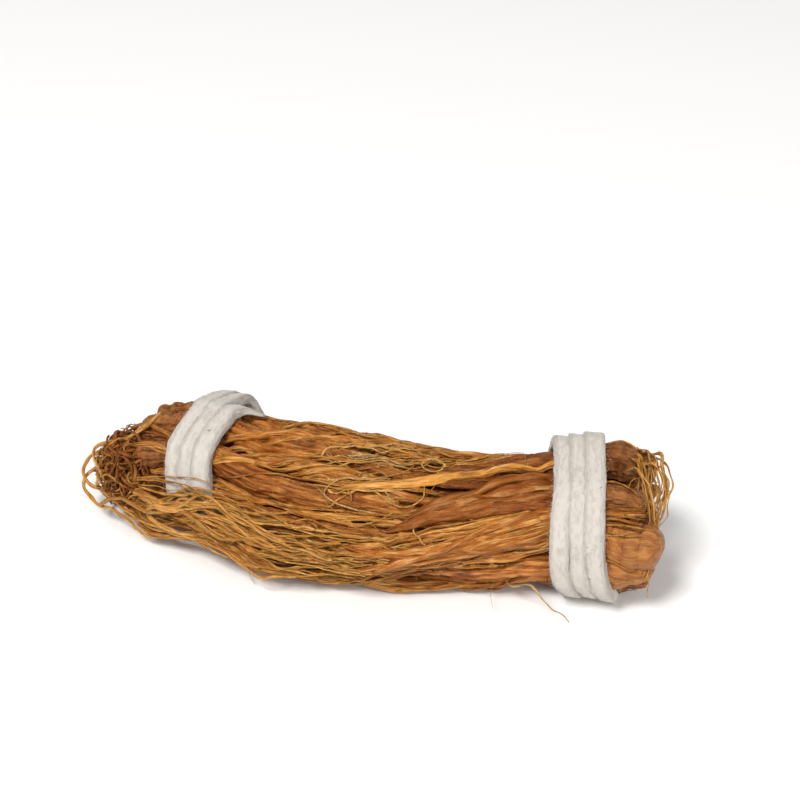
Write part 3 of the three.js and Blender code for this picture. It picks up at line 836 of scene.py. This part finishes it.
strung([(-68, 2, 14), (-75, -2, 13.4), (-79.4, -6, 11.4), (-80.2, -8, 8.6), (-76.9, -10, 7.2),
        (-73.9, -12, 6), (-68.1, -14, 7.2), (-63.6, -16, 6.5), (-59.8, -18, 5.1), (-57.7, -18, 3.1),
        (-51.9, -20, 5.5), (-47, -22, 8), (-43.9, -22.6, 9.3), (-38.4, -25, 10.6), (-31, -28.4, 11.2),
        (-26, -29.6, 8.4), (-21.9, -30.6, 6.4), (-17, -30, 7.6), (-8, -29, 9)], 0.4, 1.0, "root_right_06")
LOW_COURSE = np.array([(-70, -10, 9), (-66, -14, 6), (-61, -16, 4.6), (-57, -18, 3.2), (-51.9, -20, 5),
                       (-44, -22.6, 8), (-37, -25, 9.6), (-30, -27.6, 9.4), (-24, -29, 7), (-17, -29, 6),
                       (-6, -27, 6)])
for _ in range(16):  # more of the same low down, each starting somewhere along that course
    inward = rng.uniform(0, 1)
    knots = LOW_COURSE + np.array((0, 4, 3)) * inward + rng.normal(0, 0.5, LOW_COURSE.shape)
    strung(knots[rng.integers(0, 5):], rng.uniform(0.22, 0.42), rng.uniform(-0.4, 1),
           one_of(right_headed))
for _ in range(14):  # thin ones that turn from the top of the left end down to its foot
    reach = rng.uniform(68, 76)
    first, last = rng.uniform(-30, 50), rng.uniform(-62, -12)
    swing([(-65, first, rng.uniform(3, 11)), (-0.5 * (reach + 65), first, rng.uniform(6, 12)),
           (-reach, 0.6 * first + 0.4 * last, rng.uniform(6, 12)),
           (1 - reach, 0.2 * first + 0.8 * last, rng.uniform(8, 14)),
           (-0.5 * (reach + 60), last, rng.uniform(12, 16)), (-57, last, 0), (-46, last, 0),
           (rng.uniform(-42, -5), last - 4, 0)], rng.uniform(0.16, 0.36), rng.uniform(-0.1, 1), 1.2)
for _ in range(6):  # and at the back
    turned = rng.uniform(140, 230)
    swing([(-61, turned, 8), (-66, turned, 12), (-68, turned + 10, 13), (-64, turned + 20, 15),
           (-56, turned + 20, 0), (rng.uniform(-50, -20), turned + 24, 0)], rng.uniform(0.2, 0.35),
          rng.uniform(0.3, 1))


def curly(start, direction, length, tight, thick, owner_name, tone, pull=0.0, keep_in=False):
    """A loose rootlet that curls in the air, bending more and more the way it is bent already."""
    count = int(length * MM / STRIDE)
    heading = unit(np.array(direction, float))
    axis = unit(rng.normal(0, 1, 3))
    path = [np.array(start)]
    for _ in range(count - 1):
        axis = unit(axis + rng.normal(0, 0.22, 3))
        heading = unit(heading + tight * np.cross(axis, heading) + [0, 0, -pull])
        path.append(path[-1] + heading * STRIDE)
    path = smooth_along(np.array(path), 1)
    if keep_in and (np.sum(((path / MM - TANGLE) / TANGLE_SIZE) ** 2, 1) > 1).any():
        return  # it would stand out of the tangle
    radius = uneven(count, thick, 0.6)
    path[:, 2] = np.maximum(path[:, 2], radius)
    rootlets[owner_name].append((path, radius, tone))


# A tangle of thin curly rootlets fills the left end between the heads and the loops. Every second
# one is a thicker tail further in, dark brown partly as such roots are and partly as painted shade of the
# tangle's depths.
TANGLE, TANGLE_SIZE = np.array((-66.5, -1, 13)), np.array((11.5, 14, 11))
DARK_SHADED_TAIL = (0.2, 0.8), (0.3, 0.6), (-0.7, -0.3)  # how far out it starts, its radius and tone
CURLED = (0.2, 0.97), (0.13, 0.32), (-0.4, 1.1)
for number in range(1900):
    out, radii, tones = CURLED if number % 2 else DARK_SHADED_TAIL
    start = TANGLE + TANGLE_SIZE * unit(rng.normal(0, 1, 3)) * rng.uniform(*out)
    curly(start * MM, rng.normal(0, 1, 3), rng.integers(12, 28) * STRIDE / MM, rng.uniform(0.12, 0.4),
          rng.uniform(*radii) * MM, one_of(right_headed), rng.uniform(*tones), keep_in=True)
for _ in range(220):  # thin yellow ones outside them
    start = TANGLE + TANGLE_SIZE * unit(rng.normal(0, 1, 3) + [-0.5, -0.6, 0.2]) * rng.uniform(0.8, 0.98)
    curly(start * MM, rng.normal(0, 1, 3), rng.integers(10, 24) * STRIDE / MM, rng.uniform(0.15, 0.5),
          rng.uniform(0.12, 0.24) * MM, one_of(right_headed), rng.uniform(0.2, 1.2), keep_in=True)

# The ends of the left-headed roots' tails hang down over the heads at the right end and meet.
for number in range(24):
    spread_out = rng.uniform(-1, 1)
    top = np.array([70 + 3.6 * spread_out, 4 + rng.uniform(-4, 4), 36.6 + rng.uniform(-1.5, 2)])
    bend = np.array([73 + 3.4 * spread_out, -2 + rng.uniform(-2, 2), 33 + rng.uniform(-2, 2)])
    joined = np.array([74, -8.6, 24]) + rng.normal(0, 0.6, 3)
    knots = [top + [-4, 5, -4], top, bend, 0.5 * (bend + joined) + rng.normal(0, 0.9, 3), joined]
    if number < 3:  # three hang on down, and the first of them furthest
        knots += [(74.6 + rng.normal(0, 0.7), -12, 20), (74.4 - 0.6 * number, -15, 17.5),
                  (74 - 0.5 * number, -18, 15.4)]
        if number == 0:
            knots += [(75, -20, 14.4), (75.7, -23, 13.4)]
    else:
        knots += [joined + rng.normal(0, 0.8, 3) + [0, 1, -3 - rng.uniform(0, 4)]]
    strung(knots, rng.uniform(0.14, 0.3), rng.uniform(0.4, 1.2), left_headed[number % len(left_headed)], 0.3)
for _ in range(14):  # curls behind them
    angle = math.radians(rng.uniform(40, 130))
    start = around(68 * MM, angle, rng.uniform(8, 14) * MM)
    curly(start, [0.3, -0.5, rng.normal(0, 0.5)], rng.uniform(8, 18), rng.uniform(0.2, 0.45),
          rng.uniform(0.12, 0.25) * MM, one_of(left_headed), rng.uniform(0, 1), 0.1)

# Rootlets that have slipped down in front, where the bundle is off the table.
for _ in range(26):
    x = rng.uniform(-24, 4)
    start, last = np.array([x, -23 + rng.uniform(0, 4), rng.uniform(1.5, 5)]), rng.uniform(22, 38)
    strung([start + [0, 5, 2], start, (0.5 * (x + last), -20.5 + rng.uniform(0, 4), rng.uniform(0.8, 4)),
            (last, -16 + rng.uniform(0, 3), rng.uniform(2.0, 5)), (last + 6, -11, 6)],
           rng.uniform(0.3, 0.75), rng.uniform(-0.2, 0.9), one_of(right_headed))

# Hairs that stand off: short ones along the foot of the bundle, and one long one.
for _ in range(24):
    x = rng.uniform(-52, 50) * MM
    angle = math.radians(rng.uniform(-75, -35) if rng.random() < 0.6 else rng.uniform(0, 360))
    at = cells(x, angle)
    if tied[at]:
        continue
    start = around(x, angle, surface[at])
    outward = unit(start - around(x, angle, 0))
    curly(start - outward * 0.3 * MM, outward * 0.5 + [rng.normal(0, 1), 0, 0], rng.uniform(3, 13),
          rng.uniform(0.03, 0.3), rng.uniform(0.07, 0.14) * MM, names[owner[at]], rng.uniform(0.5, 1.3), 0.04)
# The long one stands out in front.
strung([(36, -10, 6), (40.3, -16, 5.4), (46, -20, 10.7), (50.9, -26, 10.5), (53.5, -30, 11.5),
        (55.3, -31, 12.8), (58.2, -34, 12.1)], 0.27, 1.7, "root_right_01", 0.05)

# Each root's rootlets become closed tubes, and are joined to its body as one piece.
for name, body in bodies.items():
    points, faces, grain, shade, fine, crease_and_shade = [], [], [], [], [], []
    offset = 0
    for path, radius, tone in rootlets[name]:
        thick = radius.max() > THICK
        sides = 10 if thick else 5
        turn = np.arange(sides) * 2 * math.pi / sides
        run = np.arange(len(path)) * STRIDE / MM
        twist = 1.2 * np.sin(run / 16 + rng.uniform(0, 6)) + rng.uniform(0, 6)
        ridges = 0.24 * np.cos(2 * (turn + twist[:, None]))
        furrows = np.cos(5 * turn + 0.3 * run[:, None] + 2.5 * strand_noise(len(path), 5)[:, None])
        if thick:
            ridges = ridges + 0.1 * furrows
        tube_points, tube_faces_, angles = tube(path, radius, sides, 1 + ridges)
        points.append(tube_points)
        faces += [[corner + offset for corner in face] for face in tube_faces_]
        offset += len(tube_points)
        run = np.append(np.repeat(run * 0.3, sides), [0, 0])
        start = rng.uniform(0, 90)
        grain.append(np.stack([run + start, 2 * np.cos(angles), 2 * np.sin(angles)], 1))
        shade.append(np.full(len(tube_points), tone))
        fine.append(np.full(len(tube_points), 0.7 if thick else 1.0))
        # Painted shade in the furrows of thick rootlets.
        trough = np.clip(-furrows, 0, 1).ravel() * (0.55 if thick else 0)
        crease_and_shade.append(np.append(trough, [0, 0]))
    strings = add_mesh(name + "_rootlets", np.vstack(points), faces, skin)
    mesh = strings.data
    store(mesh, "grain", np.vstack(grain))
    store(mesh, "fine", np.concatenate(fine))
    store(mesh, "tone", np.concatenate(shade))
    store(mesh, "crease_and_shade", np.concatenate(crease_and_shade))
    store(mesh, "crown", np.zeros(offset))
    body.data.materials.clear()
    body.data.materials.append(skin)
    only(body)
    strings.select_set(True)
    bpy.ops.object.join()
    body.name = name.replace("root_", "ginseng_")
    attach(body, "root")
    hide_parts(name)

# --------------------------------------------------------------------
# Floor, light and camera.
bpy.ops.mesh.primitive_plane_add(size=6)
floor = bpy.context.object
floor.name = "floor"
paper, _, shader = new_material("matt white paper")
shader.inputs["Base Color"].default_value = linear("#F4F3F1")
shader.inputs["Roughness"].default_value = 0.9
floor.data.materials.append(paper)

world = bpy.data.worlds.new("studio")
bpy.context.scene.world = world
world.use_nodes = True
sky = world.node_tree.nodes["Background"]
sky.inputs["Color"].default_value = linear("#FFFFFF")
sky.inputs["Strength"].default_value = 0.4


def softbox(name, place_at, size, watts):
    lamp = bpy.data.lights.new(name, "AREA")
    lamp.size = size
    lamp.energy = watts
    obj = bpy.data.objects.new(name, lamp)
    bpy.context.collection.objects.link(obj)
    obj.location = place_at
    obj.rotation_euler = (-obj.location).to_track_quat("-Z", "Y").to_euler()


softbox("key", Vector((-0.4, -1.15, 1.7)), 0.5, 39)
softbox("fill", Vector((1.3, -1.1, 1.1)), 1.2, 15)

AZIMUTH = math.radians(15)
ELEVATION = math.radians(36)
DISTANCE = 0.42
AIM = Vector((-0.0025, 0, 0.02))
camera = bpy.data.objects.new("camera", bpy.data.cameras.new("camera"))
bpy.context.collection.objects.link(camera)
backwards = Vector((math.sin(AZIMUTH) * math.cos(ELEVATION), -math.cos(AZIMUTH) * math.cos(ELEVATION),
                    math.sin(ELEVATION)))
camera.location = AIM + backwards * DISTANCE
camera.rotation_euler = (-backwards).to_track_quat("-Z", "Y").to_euler()
camera.data.lens = 72
camera.data.shift_x = 0.045
camera.data.shift_y = 0.099
bpy.context.scene.camera = camera
bpy.context.scene.view_settings.view_transform = "Standard"
